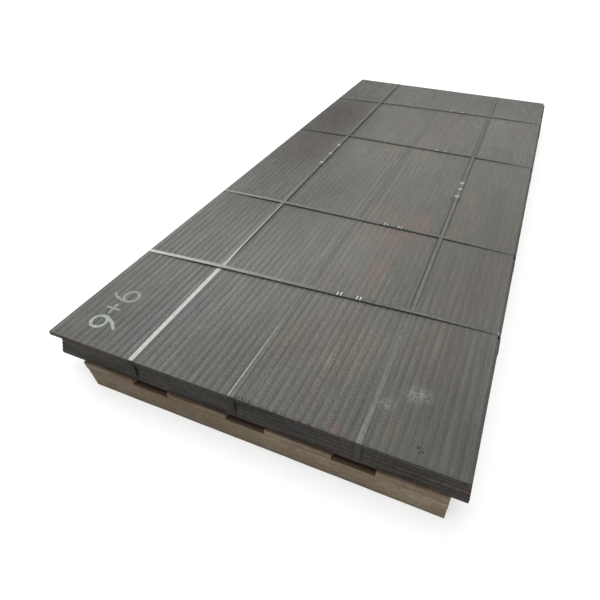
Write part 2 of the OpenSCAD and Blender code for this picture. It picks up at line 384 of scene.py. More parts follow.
def cut_edge_material():
    """Sawn and flame-cut plate edges: dark scale in uneven layers, drag lines, thin rust."""
    graph = Graph("cut_edge")
    depth = graph.attribute("depth")
    x, y, z = graph.axis("X"), graph.axis("Y"), graph.axis("Z")
    foot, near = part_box("plate_1")[0].z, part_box("plate_1")[0].y
    drag = graph.noise((420.0, 420.0, 25.0))
    cloud = graph.noise((14.0, 14.0, 60.0), detail=4.0)
    layer = graph.noise((3.4, 3.4, 55.0), detail=4.0, roughness=0.6)
    rust = graph.noise((6.0, 6.0, 90.0), detail=4.0, roughness=0.65)
    mottle = graph.noise((75.0, 75.0, 110.0), roughness=0.6)
    graph.colour = graph.mix((cloud, 0.3, 0.7), shade(63, 60, 54), shade(77, 73, 66))
    blue = graph.noise((5.0, 5.0, 60.0), detail=2.0)
    graph.tint((blue, 0.52, 0.68, 0.0, 0.5), 58, 60, 68)
    green = graph.noise((4.0, 4.0, 45.0), detail=2.0)
    graph.tint((green, 0.54, 0.68, 0.0, 0.5), 57, 63, 54)

    # Brown scale on the upper plates at the left end, violet scale at the right end.
    brown = graph.times(
        (z, 0.160, 0.176),
        (x, -0.56, -0.38, 0.9, 0.0),
        (y, near + 0.05, near + 0.4, 1.0, 0.2),
        (cloud, 0.3, 0.6),
    )
    graph.tint(brown, 78, 52, 47)
    violet = graph.times(
        (x, 0.52, 0.66, 0.0, 0.65),
        (cloud, 0.35, 0.6),
        (y, near + 0.05, near + 0.3, 1.0, 0.15),
    )
    graph.tint(violet, 88, 76, 74)

    # Rust, most of it at the foot and on the right of the near edge.
    at_foot = graph.ramp(z, foot + 0.002, foot + 0.010, 0.12, -0.16)
    at_right = graph.times((x, 0.1, 0.4, 0.0, 0.1), (y, near + 0.05, near + 0.2, 1.0, 0.0))
    rusty = graph.ramp(graph.plus(rust, graph.plus(at_foot, at_right)), 0.56, 0.76, 0.0, 0.7)
    graph.tint(rusty, 94, 50, 45)

    # The left end is dirtier, and dirt fills the seam under each plate.
    seam = graph.times((depth, 0.88, 1.0), (cloud, 0.35, 0.65, 0.0, 0.12))
    level = graph.times(
        (drag, 0.3, 0.7, 0.84, 1.12),
        (mottle, 0.3, 0.7, 0.8, 1.24),
        (layer, 0.3, 0.7, 0.68, 1.32),
        (x, -0.6, 0.5, 0.88, 1.1),
        graph.minus(1.0, seam),
    )
    graph.dim(level)
    graph.bump(drag, 0.0012)
    graph.bump(graph.noise((160.0, 160.0, 160.0)), 0.0008)
    return graph.finish((cloud, 0.3, 0.7, 0.55, 0.8), specular=0.2)


def lip_material():
    """Overlay of the lower plates, seen only along their edges: dirt, and painted shade under the plate
    above.
    """
    graph = Graph("shaded_dirty_overlay")
    bead, y, z = graph.attribute("bead"), graph.axis("Y"), graph.axis("Z")
    near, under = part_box("plate_1")[0].y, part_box("plate_5")[1].z
    cloud = graph.noise((12.0, 5.0, 12.0), detail=4.0)
    lump = graph.noise(LUMPS, roughness=0.6)
    # Dark base colour: dirt and painted shade under the plate above.
    graph.colour = graph.mix((cloud, 0.3, 0.7), shade(44, 43, 40), shade(58, 57, 53))
    dust = graph.times(
        (y, near + 0.02, near + 0.03, 1.0, 0.0),
        (graph.noise((7.0, 7.0, 60.0)), 0.4, 0.7),
    )
    graph.tint(dust, 72, 69, 63)

    # The plate under the top one is cleaner, and so are all of them away from the near end.
    paler_part = graph.math("MAXIMUM", (z, under - 0.008, under - 0.004), (y, near + 0.1, near + 0.5))
    paler_part = graph.times(paler_part, (cloud, 0.3, 0.7, 0.6, 0.95))
    graph.tint(paler_part, 112, 112, 107)
    level = graph.times((lump, 0.3, 0.7, 0.85, 1.12), (bead, 0.0, 0.6, 0.75, 1.0))
    graph.bump(lump, 0.001)
    graph.dim(level)
    return graph.finish((cloud, 0.3, 0.7, 0.6, 0.8), specular=0.2)


def strap_material():
    """Steel strapping: dull and blued, with a painted highlight of bright zinc where shine is high."""
    graph = Graph("strap")
    shine = graph.attribute("shine")
    rub = graph.noise((60.0, 60.0, 60.0), detail=4.0)
    fine = graph.noise((900.0, 900.0, 900.0), detail=2.0)
    # A high shine takes the bright zinc colour: a painted highlight.
    zinc = graph.mix((shine, 0.2, 0.5), shade(197, 201, 191), shade(203, 202, 199))
    graph.colour = graph.mix(shine, shade(53, 53, 49), zinc)
    graph.dim((rub, 0.3, 0.7, 0.86, 1.08))
    grain = graph.noise((220.0, 160.0, 220.0), roughness=0.7)
    streak = graph.noise((300.0, 4.0, 300.0))
    grit = graph.minus(graph.plus(grain, streak), 1.0)
    grit = graph.times(grit, (shine, 0.18, 0.3, 1.4, 0.6))
    graph.dim(graph.plus(grit, 1.0))
    graph.bump(fine, 0.00008)
    graph.bump(rub, 0.0003)
    return graph.finish((rub, 0.3, 0.7, 0.4, 0.56), metallic=0.3, specular=0.4)


def strap_side_material():
    """Straps down the sides of the stack: dull and dark, with painted shade."""
    graph = Graph("strap_side")
    shine = graph.attribute("shine")
    rub = graph.noise((90.0, 90.0, 40.0), detail=4.0)
    graph.colour = graph.mix(shine, shade(49, 47, 45), shade(150, 155, 147))
    graph.dim((rub, 0.3, 0.7, 0.8, 1.15))
    graph.bump(rub, 0.0003)
    return graph.finish((rub, 0.3, 0.7, 0.55, 0.75), specular=0.1)


def seal_material(name, axis):
    """Zinc-plated crimp seals along this axis, dull with dirt, their pressed ridges bright with a
    painted highlight.
    """
    graph = Graph(name)
    rub = graph.noise((240.0, 240.0, 240.0), detail=4.0)
    share = graph.axis(axis, graph.add("TexCoord", {}, "Generated"))
    off_middle = graph.math("ABSOLUTE", graph.minus(share, 0.5))
    off_ridge = graph.math("ABSOLUTE", graph.minus(off_middle, SEAL_RIDGE))
    # The ridges are painted bright: a painted highlight.
    ridge = graph.ramp(off_ridge, 0.08, 0.15, 1.0, 0.0)
    dull = graph.mix((rub, 0.35, 0.65), shade(88, 88, 85), shade(122, 122, 118))
    paler_part = graph.mix((rub, 0.35, 0.65), shade(188, 188, 184), shade(232, 232, 228))
    graph.colour = graph.mix(ridge, dull, paler_part)
    graph.bump(rub, 0.0003)
    return graph.finish((rub, 0.3, 0.7, 0.28, 0.45), metallic=0.9)


def timber_material():
    """Rough-sawn softwood gone grey: growth rings, saw marks, darker towards the floor."""
    graph = Graph("timber")
    grain = graph.attribute("grain", "Vector")
    fibre = graph.noise((380.0, 380.0, 7.0), detail=4.0, where=grain)
    blotch = graph.noise((9.0, 9.0, 3.0), detail=4.0, where=grain)
    graph.colour = graph.mix((blotch, 0.3, 0.7), shade(120, 108, 91), shade(147, 134, 116))

    # Growth rings about the pith, dark in their late wood.
    wander = graph.noise((16.0, 16.0, 1.6), where=grain)
    off_pith = graph.length(graph.stretch((1.0, 1.0, 0.0), where=grain))
    ring = graph.math("FRACT", graph.plus(graph.times(off_pith, 150.0), graph.times(wander, 4.0)))
    late = graph.times((ring, 0.35, 0.95), 0.3)
    graph.tint(late, 114, 99, 77)
    spots = graph.noise((70.0, 70.0, 110.0), roughness=0.6)
    graph.dim((fibre, 0.3, 0.7, 0.86, 1.1))
    graph.dim((spots, 0.3, 0.7, 0.82, 1.16))
    green = graph.times((graph.noise((7.0, 7.0, 20.0), detail=4.0), 0.5, 0.66), 0.55)
    graph.tint(green, 120, 113, 88)
    stain = graph.ramp(graph.noise((5.0, 5.0, 14.0), detail=4.0), 0.52, 0.68)
    graph.tint(graph.times(stain, 0.45), 117, 99, 84)

    # Darker towards the floor, and paler wood towards the right.
    height, x = graph.axis("Z"), graph.axis("X")
    graph.dim((height, 0.0, 0.014, 0.55, 1.0))
    graph.dim((x, -0.45, 0.1, 1.09, 1.16))
    graph.dim((x, 0.05, 0.55, 1.0, 1.18))

    # Under the plates a dark red-brown band: rust stain and painted shade of their overhang.
    # A dark brown seam between boards and bearers, and painted shade in the notches.
    shelf, deck_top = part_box("deck_board_1")[0].z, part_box("deck_board_1")[1].z
    ragged_height = graph.plus(height, graph.times(stain, 0.006))
    eaves = graph.times(
        (ragged_height, deck_top - 0.007, deck_top - 0.002),
        (x, -0.5, 0.0, 0.5, 0.75),
        (x, 0.35, 0.6, 1.0, 0.3),
    )
    graph.tint(eaves, 68, 48, 42)
    # Painted shade in the notches, where the bearers' tops show between the boards.
    seam_low = (shelf - 0.0016, shelf - 0.0008)
    seam_high = (shelf + 0.0008, shelf + 0.0016)
    shut_in = graph.ramp(height, *seam_low, 1.0, 0.55)
    above = graph.ramp(height, *seam_high, 0.0, 0.45)
    graph.dim(graph.plus(shut_in, above))
    hollow = graph.minus((height, *seam_low), (height, *seam_high))
    graph.tint(graph.times(hollow, 0.7), 92, 68, 56)
    saw = graph.noise((30.0, 30.0, 260.0), detail=2.0, where=grain)
    graph.bump(saw, 0.0008)
    graph.bump(fibre, 0.0006)
    return graph.finish((blotch, 0.3, 0.7, 0.72, 0.9), specular=0.25)


def paint_material():
    """Brushed chalky paint, worn off the bead crests."""
    graph = Graph("mark_paint")
    fresh = graph.attribute("fresh")
    worn = graph.noise((260.0, 90.0, 260.0), detail=4.0)
    graph.colour = graph.mix(fresh, shade(142, 143, 141), shade(160, 170, 165))
    graph.tint((worn, 0.52, 0.7), 112, 112, 108)
    graph.bump(worn, 0.0006)
    return graph.finish((worn, 0.3, 0.7, 0.6, 0.8), specular=0.3)


# Marks on the top surface: middle x and y, radius along x and y, strength.
VIOLET_PATCHES = [
    (-0.341, -1.369, 0.09, 0.3, 0.9),
    (-0.43, -1.54, 0.08, 0.22, 0.8),
    (-0.64, -0.9, 0.06, 0.3, 0.6),
    (0.665, -1.15, 0.03, 0.45, 0.8),
]
BROWN_PATCHES = [
    (0.052, -1.407, 0.13, 0.2, 0.7),
    (0.057, -0.456, 0.16, 0.32, 0.8),
    (0.226, -0.56, 0.12, 0.24, 1.1),
    (0.44, -0.107, 0.12, 0.3, 0.7),
    (0.467, -1.631, 0.1, 0.09, 0.9),
    (0.47, -1.24, 0.11, 0.22, 0.3),
    (0.26, -1.38, 0.16, 0.32, 0.8),
    (0.12, -0.56, 0.1, 0.3, 0.6),
    (-0.523, 0.749, 0.16, 0.34, 0.8),
    (-0.65, 0.106, 0.07, 0.16, 0.8),
    (0.578, 1.037, 0.14, 0.24, 0.7),
    (-0.095, 0.34, 0.16, 0.34, 0.6),
    (0.11, 0.42, 0.12, 0.28, 0.9),
]
OCHRE_PATCHES = [
    (0.211, -0.92, 0.05, 0.19, 0.9),
    (0.27, -0.44, 0.09, 0.17, 0.6),
    (0.447, -0.43, 0.05, 0.13, 0.6),
    (0.179, -0.64, 0.07, 0.12, 0.5),
]
DARK_PATCHES = [
    (-0.58, 0.8, 0.36, 0.75, 1.0),
    (-0.56, 0.12, 0.32, 0.7, 0.75),
    (-0.23, -0.45, 0.24, 0.75, 0.4),
    (-0.5, -0.56, 0.2, 0.38, 0.3),
]
# Light patches: painted sheen where light glances off the top surface.
SHEEN_PATCHES = [
    (0.0, -0.75, 0.4, 0.7, 0.45),
    (0.1, 0.3, 0.55, 0.75, 0.3),
    (0.45, 1.0, 0.35, 0.7, 0.3),
    (0.28, -1.35, 0.2, 0.36, 0.18),
]
SCUFFS = [
    (0.51, -1.468, 0.06, 0.05, 1.0),
    (0.205, -1.44, 0.04, 0.05, 0.35),
    (0.426, -1.536, 0.04, 0.05, 0.6),
]
RUST_SPOTS = [
    (0.313, -1.692, 0.028, 0.024, 0.5),
    (0.285, -1.67, 0.02, 0.03, 0.2),
]
DARK_SPOTS = [
    (0.548, -1.652, 0.007, 0.008, 0.7),
    (0.56, -1.662, 0.008, 0.007, 0.7),
    (0.553, -1.668, 0.006, 0.005, 0.5),
    (0.008, -1.697, 0.003, 0.009, 0.9),
    (0.019, -1.697, 0.003, 0.007, 0.9),
    (0.03, -1.697, 0.003, 0.01, 0.9),
    (0.041, -1.697, 0.003, 0.008, 0.9),
    (0.052, -1.697, 0.003, 0.009, 0.9),
    (0.374, -0.13, 0.045, 0.05, 0.35),
]


def unit(vectors):
    """Vectors of length one."""
    return vectors / norm(vectors, axis=1)[:, None]


def distances(line):
    """How far along a line each of its points lies."""
    return np.concatenate([[0], np.cumsum(norm(np.diff(line, axis=0), axis=1))])


def waves(rng, place, size, lengths):
    """Smooth random wander along a line, about as large as size."""
    total = np.zeros_like(place)
    for length in lengths:
        total = total + np.sin(2 * np.pi * (place / length + rng.random()))
    return size * total / len(lengths)


def add_object(name, data):
    """An object of the scene."""
    thing = bpy.data.objects.new(name, data)
    bpy.context.scene.collection.objects.link(thing)
    return thing


def make_piece(name, points, faces, materials, stands_for=None):
    """One mesh object that rides with the bundle."""
    mesh = bpy.data.meshes.new(name)
    mesh.from_pydata(np.asarray(points).tolist(), [], faces)
    for material in materials:
        mesh.materials.append(material)
    piece = add_object(name, mesh)
    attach(piece, "root")
    if stands_for:
        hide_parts(stands_for)
    return piece


def set_values(piece, name, values):
    """One number for each vertex, for the materials to read."""
    layer = piece.data.attributes.new(name, "FLOAT", "POINT")
    layer.data.foreach_set("value", np.asarray(values, np.float32))


def smooth(piece, degrees):
    """Smooth shading that stops at edges sharper than this."""
    mesh = piece.data
    mesh.polygons.foreach_set("use_smooth", np.ones(len(mesh.polygons), bool))
    mesh.set_sharp_from_angle(angle=math.radians(degrees))


def sweep_faces(first, count, corners, closed):
    """Faces of a section of so many corners swept past so many places.

    They close into a loop, or end in a cap at each end.
    """
    index = first + np.arange(count * corners).reshape(count, corners)
    faces = []
    for i in range(count if closed else count - 1):
        here, following = index[i], index[(i + 1) % count]
        for j in range(corners):
            k = (j + 1) % corners
            faces.append([here[j], here[k], following[k], following[j]])
    if not closed:
        faces.append(index[0][::-1].tolist())
        faces.append(index[-1].tolist())
    return faces


def bead_grid(node, rows, profile, crown, rng):
    """Top surface of a plate: x, y, z, height in the bead, tone and band, by column and row."""
    low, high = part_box(node)
    pitch = (high.x - low.x) / BEADS
    along = np.linspace(low.y, high.y, rows)
    grooves = low.x + pitch * np.arange(BEADS + 1)[:, None] + np.zeros(rows)
    for groove in range(1, BEADS):
        grooves[groove] += waves(rng, along, GROOVE_WANDER, (1.1, 0.43, 0.13))
    columns = []
    for bead in range(BEADS):
        left, right = grooves[bead], grooves[bead + 1]
        crest = CREST_DROP * (1 + waves(rng, along, 1.0, (0.7, 0.24)))
        tone = np.clip(rng.random() + waves(rng, along, 0.45, (1.3, 0.4, 0.17)), 0, 1)
        contrast = 1 + waves(rng, along, 0.5, (2.1, 0.9, 0.37))
        for share, light in profile:
            arch = 4 * share * (1 - share) + 0 * along
            height = high.z - crown * (1 - arch) - min(1, crown / CROWN) * crest * arch
            band = light * contrast + waves(rng, along, 0.55, (2.9, 1.1, 0.31))
            columns.append((left + share * (right - left), along, height, arch, tone, band))
    flat = 0 * along
    columns.append((grooves[BEADS], along, high.z - crown + flat, flat, flat + 0.5, flat))
    return np.array(columns).transpose(1, 0, 2)


def make_plate(node, rows, profile, crown, seed, materials):
    """A plate with its beads, its rough cut edges and its flat underside."""
    rng = np.random.default_rng(seed)
    x, y, z, arch, tone, band = bead_grid(node, rows, profile, crown, rng)
    low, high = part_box(node)
    columns = len(x)
    index = np.arange(columns * rows).reshape(columns, rows)
    quads = np.stack([index[:-1, :-1], index[1:, :-1], index[1:, 1:], index[:-1, 1:]], -1)
    faces = quads.reshape(-1, 4).tolist()
    top_faces = len(faces)

    # The rim, anticlockwise from the near left corner, and which way each point faces.
    rim = np.concatenate([index[:, 0], index[-1, 1:], index[-2::-1, -1], index[0, -2:0:-1]])
    outward = np.concatenate([
        np.tile((0, -1), (columns, 1)),
        np.tile((1, 0), (rows - 1, 1)),
        np.tile((0, 1), (columns - 1, 1)),
        np.tile((-1, 0), (rows - 2, 1)),
    ])
    top = np.stack([x, y, z], -1).reshape(-1, 3)
    walk = np.arange(len(rim)) * RIM_STEP
    points = [top]
    depths = [np.zeros(len(top))]
    upper = rim
    lower_plate = crown < CROWN
    worn = LOWER_WEAR if lower_plate else 1.0
    lean = np.interp(top[rim, 0], (low.x, high.x), (EDGE_LEAN_LEFT, EDGE_LEAN_RIGHT))
    lean = lean * ((outward[:, 1] < 0) & lower_plate)
    for depth, inset in EDGE_RINGS:
        ring = top[rim].copy()
        rough = worn * inset * (1.2 + waves(rng, walk, 0.9, (0.31, 0.07, 0.023)))
        ring[:, :2] -= outward * np.abs(rough)[:, None]
        ring[:, 1] -= depth * lean
        ring[:, 2] = high.z - depth * (high.z - low.z)
        if depth < 0.5 * BASE_SHARE:
            ring[:, 2] = np.minimum(ring[:, 2], top[rim, 2] - RIM_GAP)
        first = sum(len(part) for part in points)
        lower = first + np.arange(len(rim))
        walls = np.stack([upper, lower, np.roll(lower, -1), np.roll(upper, -1)], -1)
        faces += walls.tolist()
        points.append(ring)
        depths.append(np.full(len(rim), depth))
        upper = lower
    faces.append(upper[::-1].tolist())

    piece = make_piece(node + "_weld", np.concatenate(points), faces, materials, node)
    pad = len(rim) * (len(points) - 1)
    for name, values, edge_value in (("bead", arch, 0.5), ("tone", tone, 0.5), ("band", band, 0.0)):
        set_values(piece, name, np.concatenate([values.ravel(), np.full(pad, edge_value)]))
    set_values(piece, "depth", np.concatenate(depths))
    kinds = np.ones(len(faces), np.int32)
    kinds[:top_faces] = 0
    piece.data.polygons.foreach_set("material_index", kinds)
    smooth(piece, 35)
    return x, y, z


def strap_outline(node):
    """A strap's inner outline in its own upright plane, read from its solid."""
    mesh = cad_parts[node].data
    points = np.array([vertex.co for vertex in mesh.vertices])
    flat = np.unique(points[:, :2].round(6), axis=0)
    middle = (flat.min(0) + flat.max(0)) / 2
    run = np.linalg.svd(flat - middle, full_matrices=False)[2][0]
    run = run * np.sign(run[np.argmax(np.abs(run))])
    side = np.array([-run[1], run[0]])
    centre = np.array([0.0, (points[:, 2].min() + points[:, 2].max()) / 2])

    def in_plane(place):
        return np.array([(place[:2] - middle) @ run, place[2]])

    corners = []
    for face in mesh.polygons:
        normal = np.array(face.normal)
        ends = np.array([in_plane(points[i]) for i in face.vertices])
        facing = np.array([normal[:2] @ run, normal[2]])
        long_enough = np.ptp(ends, axis=0).max() > 0.005
        across = abs(normal[:2] @ side) < 0.2
        inward = facing @ (centre - ends.mean(0)) > 0
        if across and long_enough and inward:
            corners += [tuple(end.round(5)) for end in ends]
    corners = np.array(sorted(set(corners)))
    order = np.argsort(np.arctan2(*(corners - centre).T[::-1]))
    return corners[order], middle, run, side, points


def rounded(corners):
    """Points along a closed outline with its corners rounded, and their outward normals."""
    count = len(corners)
    sides = np.roll(corners, -1, axis=0) - corners
    lengths = norm(sides, axis=1)
    ways = sides / lengths[:, None]
    turns = [math.acos(max(-1.0, min(1.0, ways[i - 1] @ ways[i]))) for i in range(count)]
    bends = [STRAP_BEND * math.tan(turn / 2) for turn in turns]
    route = []
    for i, here in enumerate(corners):
        leave, longest = ways[i], BEND_SHARE * lengths[i]
        reach = min(bends[i], BEND_SHARE * lengths[i - 1], longest)
        next_reach = min(bends[(i + 1) % count], longest)
        start, end = here - reach * ways[i - 1], here + reach * leave
        for share in np.linspace(0, 1, BEND_PLACES):
            route.append((1 - share) ** 2 * start + 2 * share * (1 - share) * here + share**2 * end)
        straight = lengths[i] - reach - next_reach
        parts = int(straight / STRAP_STEP)
        for part in range(1, parts):
            route.append(end + part / parts * straight * leave)
    route = np.array(route)
    keep = norm(route - np.roll(route, 1, axis=0), axis=1) > SAME_PLACE
    route = route[keep]
    tangent = unit(np.roll(route, -1, axis=0) - np.roll(route, 1, axis=0))
    # The outline runs anticlockwise, so outward is to the right of the way along it.
    return route, np.stack([tangent[:, 1], -tangent[:, 0]], -1)


def ribbon(centre, outward, side, width, thickness, closed, first, split):
    """Points and faces of a flat strip with eased edges, swept along a line.

    The top face is split in two along the strip; the points beyond the split are
    told apart as its rim, and the points along its two edges as its edge.
    """
    half, rise, ease = width / 2, thickness / 2, STRAP_EASE
    border = min(STRAP_BORDER, 0.5 * (half - abs(split)))
    section = [
        (-half, rise - ease), (-half + ease, rise), (-half + border, rise), (split - ease, rise),
        (split + ease, rise), (half - border, rise), (half - ease, rise), (half, rise - ease),
        (half, ease - rise), (half - ease, -rise), (ease - half, -rise), (-half, ease - rise),
    ]
    rim = [across > split and up > 0 for across, up in section]
    edge = [abs(across) > half - border for across, up in section]
    points = np.stack([centre + across * side + up * outward for across, up in section], 1)
    faces = sweep_faces(first, *points.shape[:2], closed)
    return points.reshape(-1, 3), faces, np.array(rim, float), np.array(edge, float)


# How each strap looks. Face and rim: places along the strap with how bright it is, from dull
# steel to a painted highlight, for its top face and for a border strip beside it, which is
# painted as a highlight on most straps and as a shadow line on the right strap. Rim width:
# positive on the left or far side. Edge: how much of that brightness is kept along its two
# edges. Side: brightness down the sides of the stack, which are painted in shade. Lean: how
# far it tips, in radians, if it does.
CROSS_LOOK = {"rim_width": 0.004, "edge": 0.85, "side": 0.05}
STRAP_LOOKS = {
    "long_strap_left": {
        "face": [
            (-1.14, 0.72), (-1.09, 0.24), (-0.9, 0.18), (-0.55, 0.18), (-0.45, 0.24), (0.95, 0.25),
            (1.1, 0.2),
        ],
        "rim": [(-1.05, 0.72), (-0.92, 0.52), (-0.7, 0.4), (-0.55, 0.33), (-0.45, 0.18), (1.1, 0.16)],
        "rim_width": -0.008, "edge": 0.4, "side": 0.02,
    },
    "long_strap_middle": {
        "face": [(-1.7, 0.175), (-1.2, 0.19), (-0.8, 0.21), (1.7, 0.215)],
        "rim": [(-1.6, 0.68), (-1.45, 0.6), (-1.3, 0.32), (-1.12, 0.22), (-1.0, 0.2)],
        "rim_width": 0.0026, "edge": 1.0, "side": 0.05, "lean": 0.055,
    },
    "long_strap_right": {
        "face": [
            (-1.7, 0.26), (-1.1, 0.23), (-0.9, 0.27), (-0.5, 0.26), (-0.3, 0.29), (0.1, 0.28),
            (0.5, 0.2),
        ],
        "rim": [(-1.13, 0.25), (-1.1, 0.1), (-0.9, 0.03), (-0.3, 0.03), (0.5, 0.12)],
        "rim_width": 0.005, "edge": 0.6, "side": 0.15,
    },
    # The first cross strap has a painted glint where it bends over the right edge.
    "cross_strap_1": {
        "face": [
            (-0.7, 0.62), (-0.55, 0.46), (-0.4, 0.42), (-0.3, 0.33), (0.1, 0.22), (0.3, 0.2),
            (0.4, 0.25), (0.6, 0.19), (0.6905, 0.2), (0.6918, 1.0),
        ],
        "rim": [
            (-0.7, 0.62), (-0.4, 0.46), (-0.3, 0.36), (0.1, 0.24), (0.6, 0.2), (0.6905, 0.2),
            (0.6918, 1.0),
        ],
        "rim_width": 0.004, "edge": 0.6, "side": 0.05,
    },
    "cross_strap_2": {
        "face": [(-0.6, 0.23), (0.1, 0.24), (0.5, 0.2)],
        "rim": [(-0.6, 0.27), (0.5, 0.22)],
        **CROSS_LOOK,
    },
    "cross_strap_3": {
        "face": [(-0.6, 0.07), (-0.38, 0.1), (0.0, 0.22), (0.6, 0.24)],
        "rim": [(-0.6, 0.08), (-0.38, 0.12), (0.0, 0.24), (0.6, 0.26)],
        **CROSS_LOOK,
    },
    "cross_strap_4": {
        "face": [(-0.6, 0.2), (0.0, 0.25), (0.6, 0.25)],
        "rim": [(-0.6, 0.2), (0.6, 0.26)],
        **CROSS_LOOK,
    },
}


def make_strap(node, seed, materials, lap_under=False):
    """A strap round the bundle with its lap, with a painted highlight or dull on top and painted shade
    elsewhere.
    """
    rng = np.random.default_rng(seed)
    look = STRAP_LOOKS[node]
    corners, middle, run, side, solid = strap_outline(node)
    along_solid = (solid[:, :2] - middle) @ run
    across_solid = (solid[:, :2] - middle) @ side
    width = np.ptp(across_solid)
    thickness = corners[:, 1].min() - solid[:, 2].min()
    if lap_under:
        thickness = thickness / 2
    route, normals = rounded(corners)
    side_3d = np.array([side[0], side[1], 0.0])
    origin = np.array([middle[0], middle[1], 0.0])

    def lift(flat):
        return np.column_stack([flat[:, :1] * run, flat[:, 1]])

    outward = lift(normals)
    length = distances(route)
    walk = length / (length[-1] + norm(route[0] - route[-1]))
    roll = look.get("lean", 0.0) + waves(rng, walk, STRAP_ROLL, (1 / 7, 1 / 13, 1 / 29))[:, None]
    sway = waves(rng, walk, STRAP_SWAY, (1 / 3, 1 / 8))[:, None]
    centre = origin + lift(route) + outward * thickness / 2 + sway * side_3d
    tilted_side = side_3d + roll * outward
    tilted_out = outward - roll * side_3d
    rim_width = look["rim_width"]
    split = math.copysign(width / 2, rim_width) - rim_width
    points, faces, rim, edge_strip = ribbon(
        centre, tilted_out, tilted_side, width, thickness, True, 0, split)

    # The lap is the second layer, on the level where the solid reaches furthest.
    level = solid[:, 2].min() if lap_under else solid[:, 2].max()
    ends = along_solid[np.abs(solid[:, 2] - level) < SAME_LEVEL]
    spots = np.linspace(ends.min(), ends.max(), LAP_PLACES)
    up = np.array([0.0, 0.0, -1.0 if lap_under else 1.0])
    lap_centre = origin + np.column_stack([spots[:, None] * run, np.full(LAP_PLACES, level)])
    lap_centre = lap_centre - up * thickness / 2
    lap_points, lap_faces, _, _ = ribbon(
        lap_centre, up, side_3d * up[2], width, thickness, False, len(points), 0.0)
    every_point, every_face = np.concatenate([points, lap_points]), faces + lap_faces
    piece = make_piece(node + "_band", every_point, every_face, materials, node)
    upward = np.clip(outward[:, 2], 0, 1) ** 2
    kinds = np.zeros(len(every_face), np.int32)
    kinds[:len(faces)] = np.repeat(upward < 0.3, len(rim))
    piece.data.polygons.foreach_set("material_index", kinds)
    face_outward(piece)

    # Brightness at each point: painted highlight on top and on the rim strip, which is a painted
    # shadow line on the right strap, less along the edges, and painted shade down the sides.
    face = np.interp(route[:, 0], *zip(*look["face"]))
    edge = np.interp(route[:, 0], *zip(*look["rim"]))
    on_rim = rim if rim_width > 0 else 1 - rim
    shine = face[:, None] + (edge - face)[:, None] * on_rim
    shine = shine * (1 - (1 - look["edge"]) * edge_strip)
    shine = look["side"] + (shine - look["side"]) * upward[:, None]
    lap_shine = np.repeat(np.interp(spots, *zip(*look["face"])), len(rim)) * max(0.0, up[2])
    set_values(piece, "shine", np.concatenate([shine.ravel(), lap_shine]))
    smooth(piece, 30)


def face_outward(piece):
    """Turns every face of a closed mesh to the outside."""
    work = bmesh.new()
    work.from_mesh(piece.data)
    bmesh.ops.recalc_face_normals(work, faces=work.faces)
    work.to_mesh(piece.data)
    work.free()


def rounded_section(width, height):
    """Outline of a sawn timber with eased edges."""
    outline, ease = [], TIMBER_EASE
    for x, y, start in ((1, 1, 0), (0, 1, 90), (0, 0, 180), (1, 0, 270)):
        middle = np.array([ease + x * (width - 2 * ease), ease + y * (height - 2 * ease)])
        for turn in (0, 30, 60, 90):
            angle = math.radians(start + turn)
            outline.append(middle + ease * np.array([math.cos(angle), math.sin(angle)]))
    points = []
    for i, here in enumerate(outline):
        after = outline[(i + 1) % len(outline)]
        parts = max(1, int(norm(after - here) / SECTION_STEP))
        for part in range(parts):
            points.append(here + (after - here) * part / parts)
    return np.array(points)


def level_corners(solid, level, lengthwise):
    """A timber's corners at one height: two at its start, then two at its end."""
    flat = np.unique(solid[np.abs(solid[:, 2] - level) < SAME_LEVEL, :2].round(5), axis=0)
    flat = flat[np.argsort(flat[:, 1 if lengthwise else 0])]
    other = 0 if lengthwise else 1
    start = flat[:2][np.argsort(flat[:2, other])]
    end = flat[2:][np.argsort(flat[2:, other])]
    return np.concatenate([start, end])


def make_timber(node, lengthwise, seed, material, tuck=0.0):
    """A rough-sawn board or bearer, between the corners of its solid.

    Tuck is how far its lower left corner at the start slants in.
    """
    rng = np.random.default_rng(seed)
    solid = np.array([vertex.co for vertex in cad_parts[node].data.vertices])
    bottom, top = solid[:, 2].min(), solid[:, 2].max()
    height = top - bottom
    low_corners = level_corners(solid, bottom, lengthwise)
    low_corners[0, 0] += tuck
    high_corners = level_corners(solid, top, lengthwise)
    width = norm(high_corners[1] - high_corners[0])
    length = norm(high_corners[2] - high_corners[0])
    section = rounded_section(width, height)
    pith = np.array([width * rng.uniform(0.2, 0.8), -height * rng.uniform(0.3, 1.2)])
    inward = unit(np.array([width / 2, height / 2]) - section)
    stations = np.linspace(0, 1, max(12, int(length / TIMBER_STEP)))
    rings = []
    grains = []
    bow = waves(rng, stations, TIMBER_BOW, (0.8, 0.31))
    for i, station in enumerate(stations):
        ripple = np.sin(section[:, 0] * 90 + 7 * station) * np.sin(31 * station + section[:, 1] * 60)
        rough = SAW_WAVE * (1 + ripple) + SAW_FUZZ * rng.random(len(section))
        shape = section + inward * rough[:, None]
        across = shape[:, :1] / width
        rise = shape[:, 1:] / height
        corners = [low + (high - low) * rise for low, high in zip(low_corners, high_corners)]
        line = corners[0] + (corners[1] - corners[0]) * across
        far = corners[2] + (corners[3] - corners[2]) * across
        rings.append(np.column_stack([line + (far - line) * station, bottom + shape[:, 1]]))
        along = np.full(len(shape), station * length)
        grains.append(np.column_stack([shape - pith + (bow[i], 0), along]))
    points = np.concatenate(rings)
    faces = sweep_faces(0, len(stations), len(section), False)
    piece = make_piece(node + "_timber", points, faces, [material], node)
    face_outward(piece)
    layer = piece.data.attributes.new("grain", "FLOAT_VECTOR", "POINT")
    layer.data.foreach_set("vector", np.concatenate(grains).astype(np.float32).ravel())
    smooth(piece, 40)


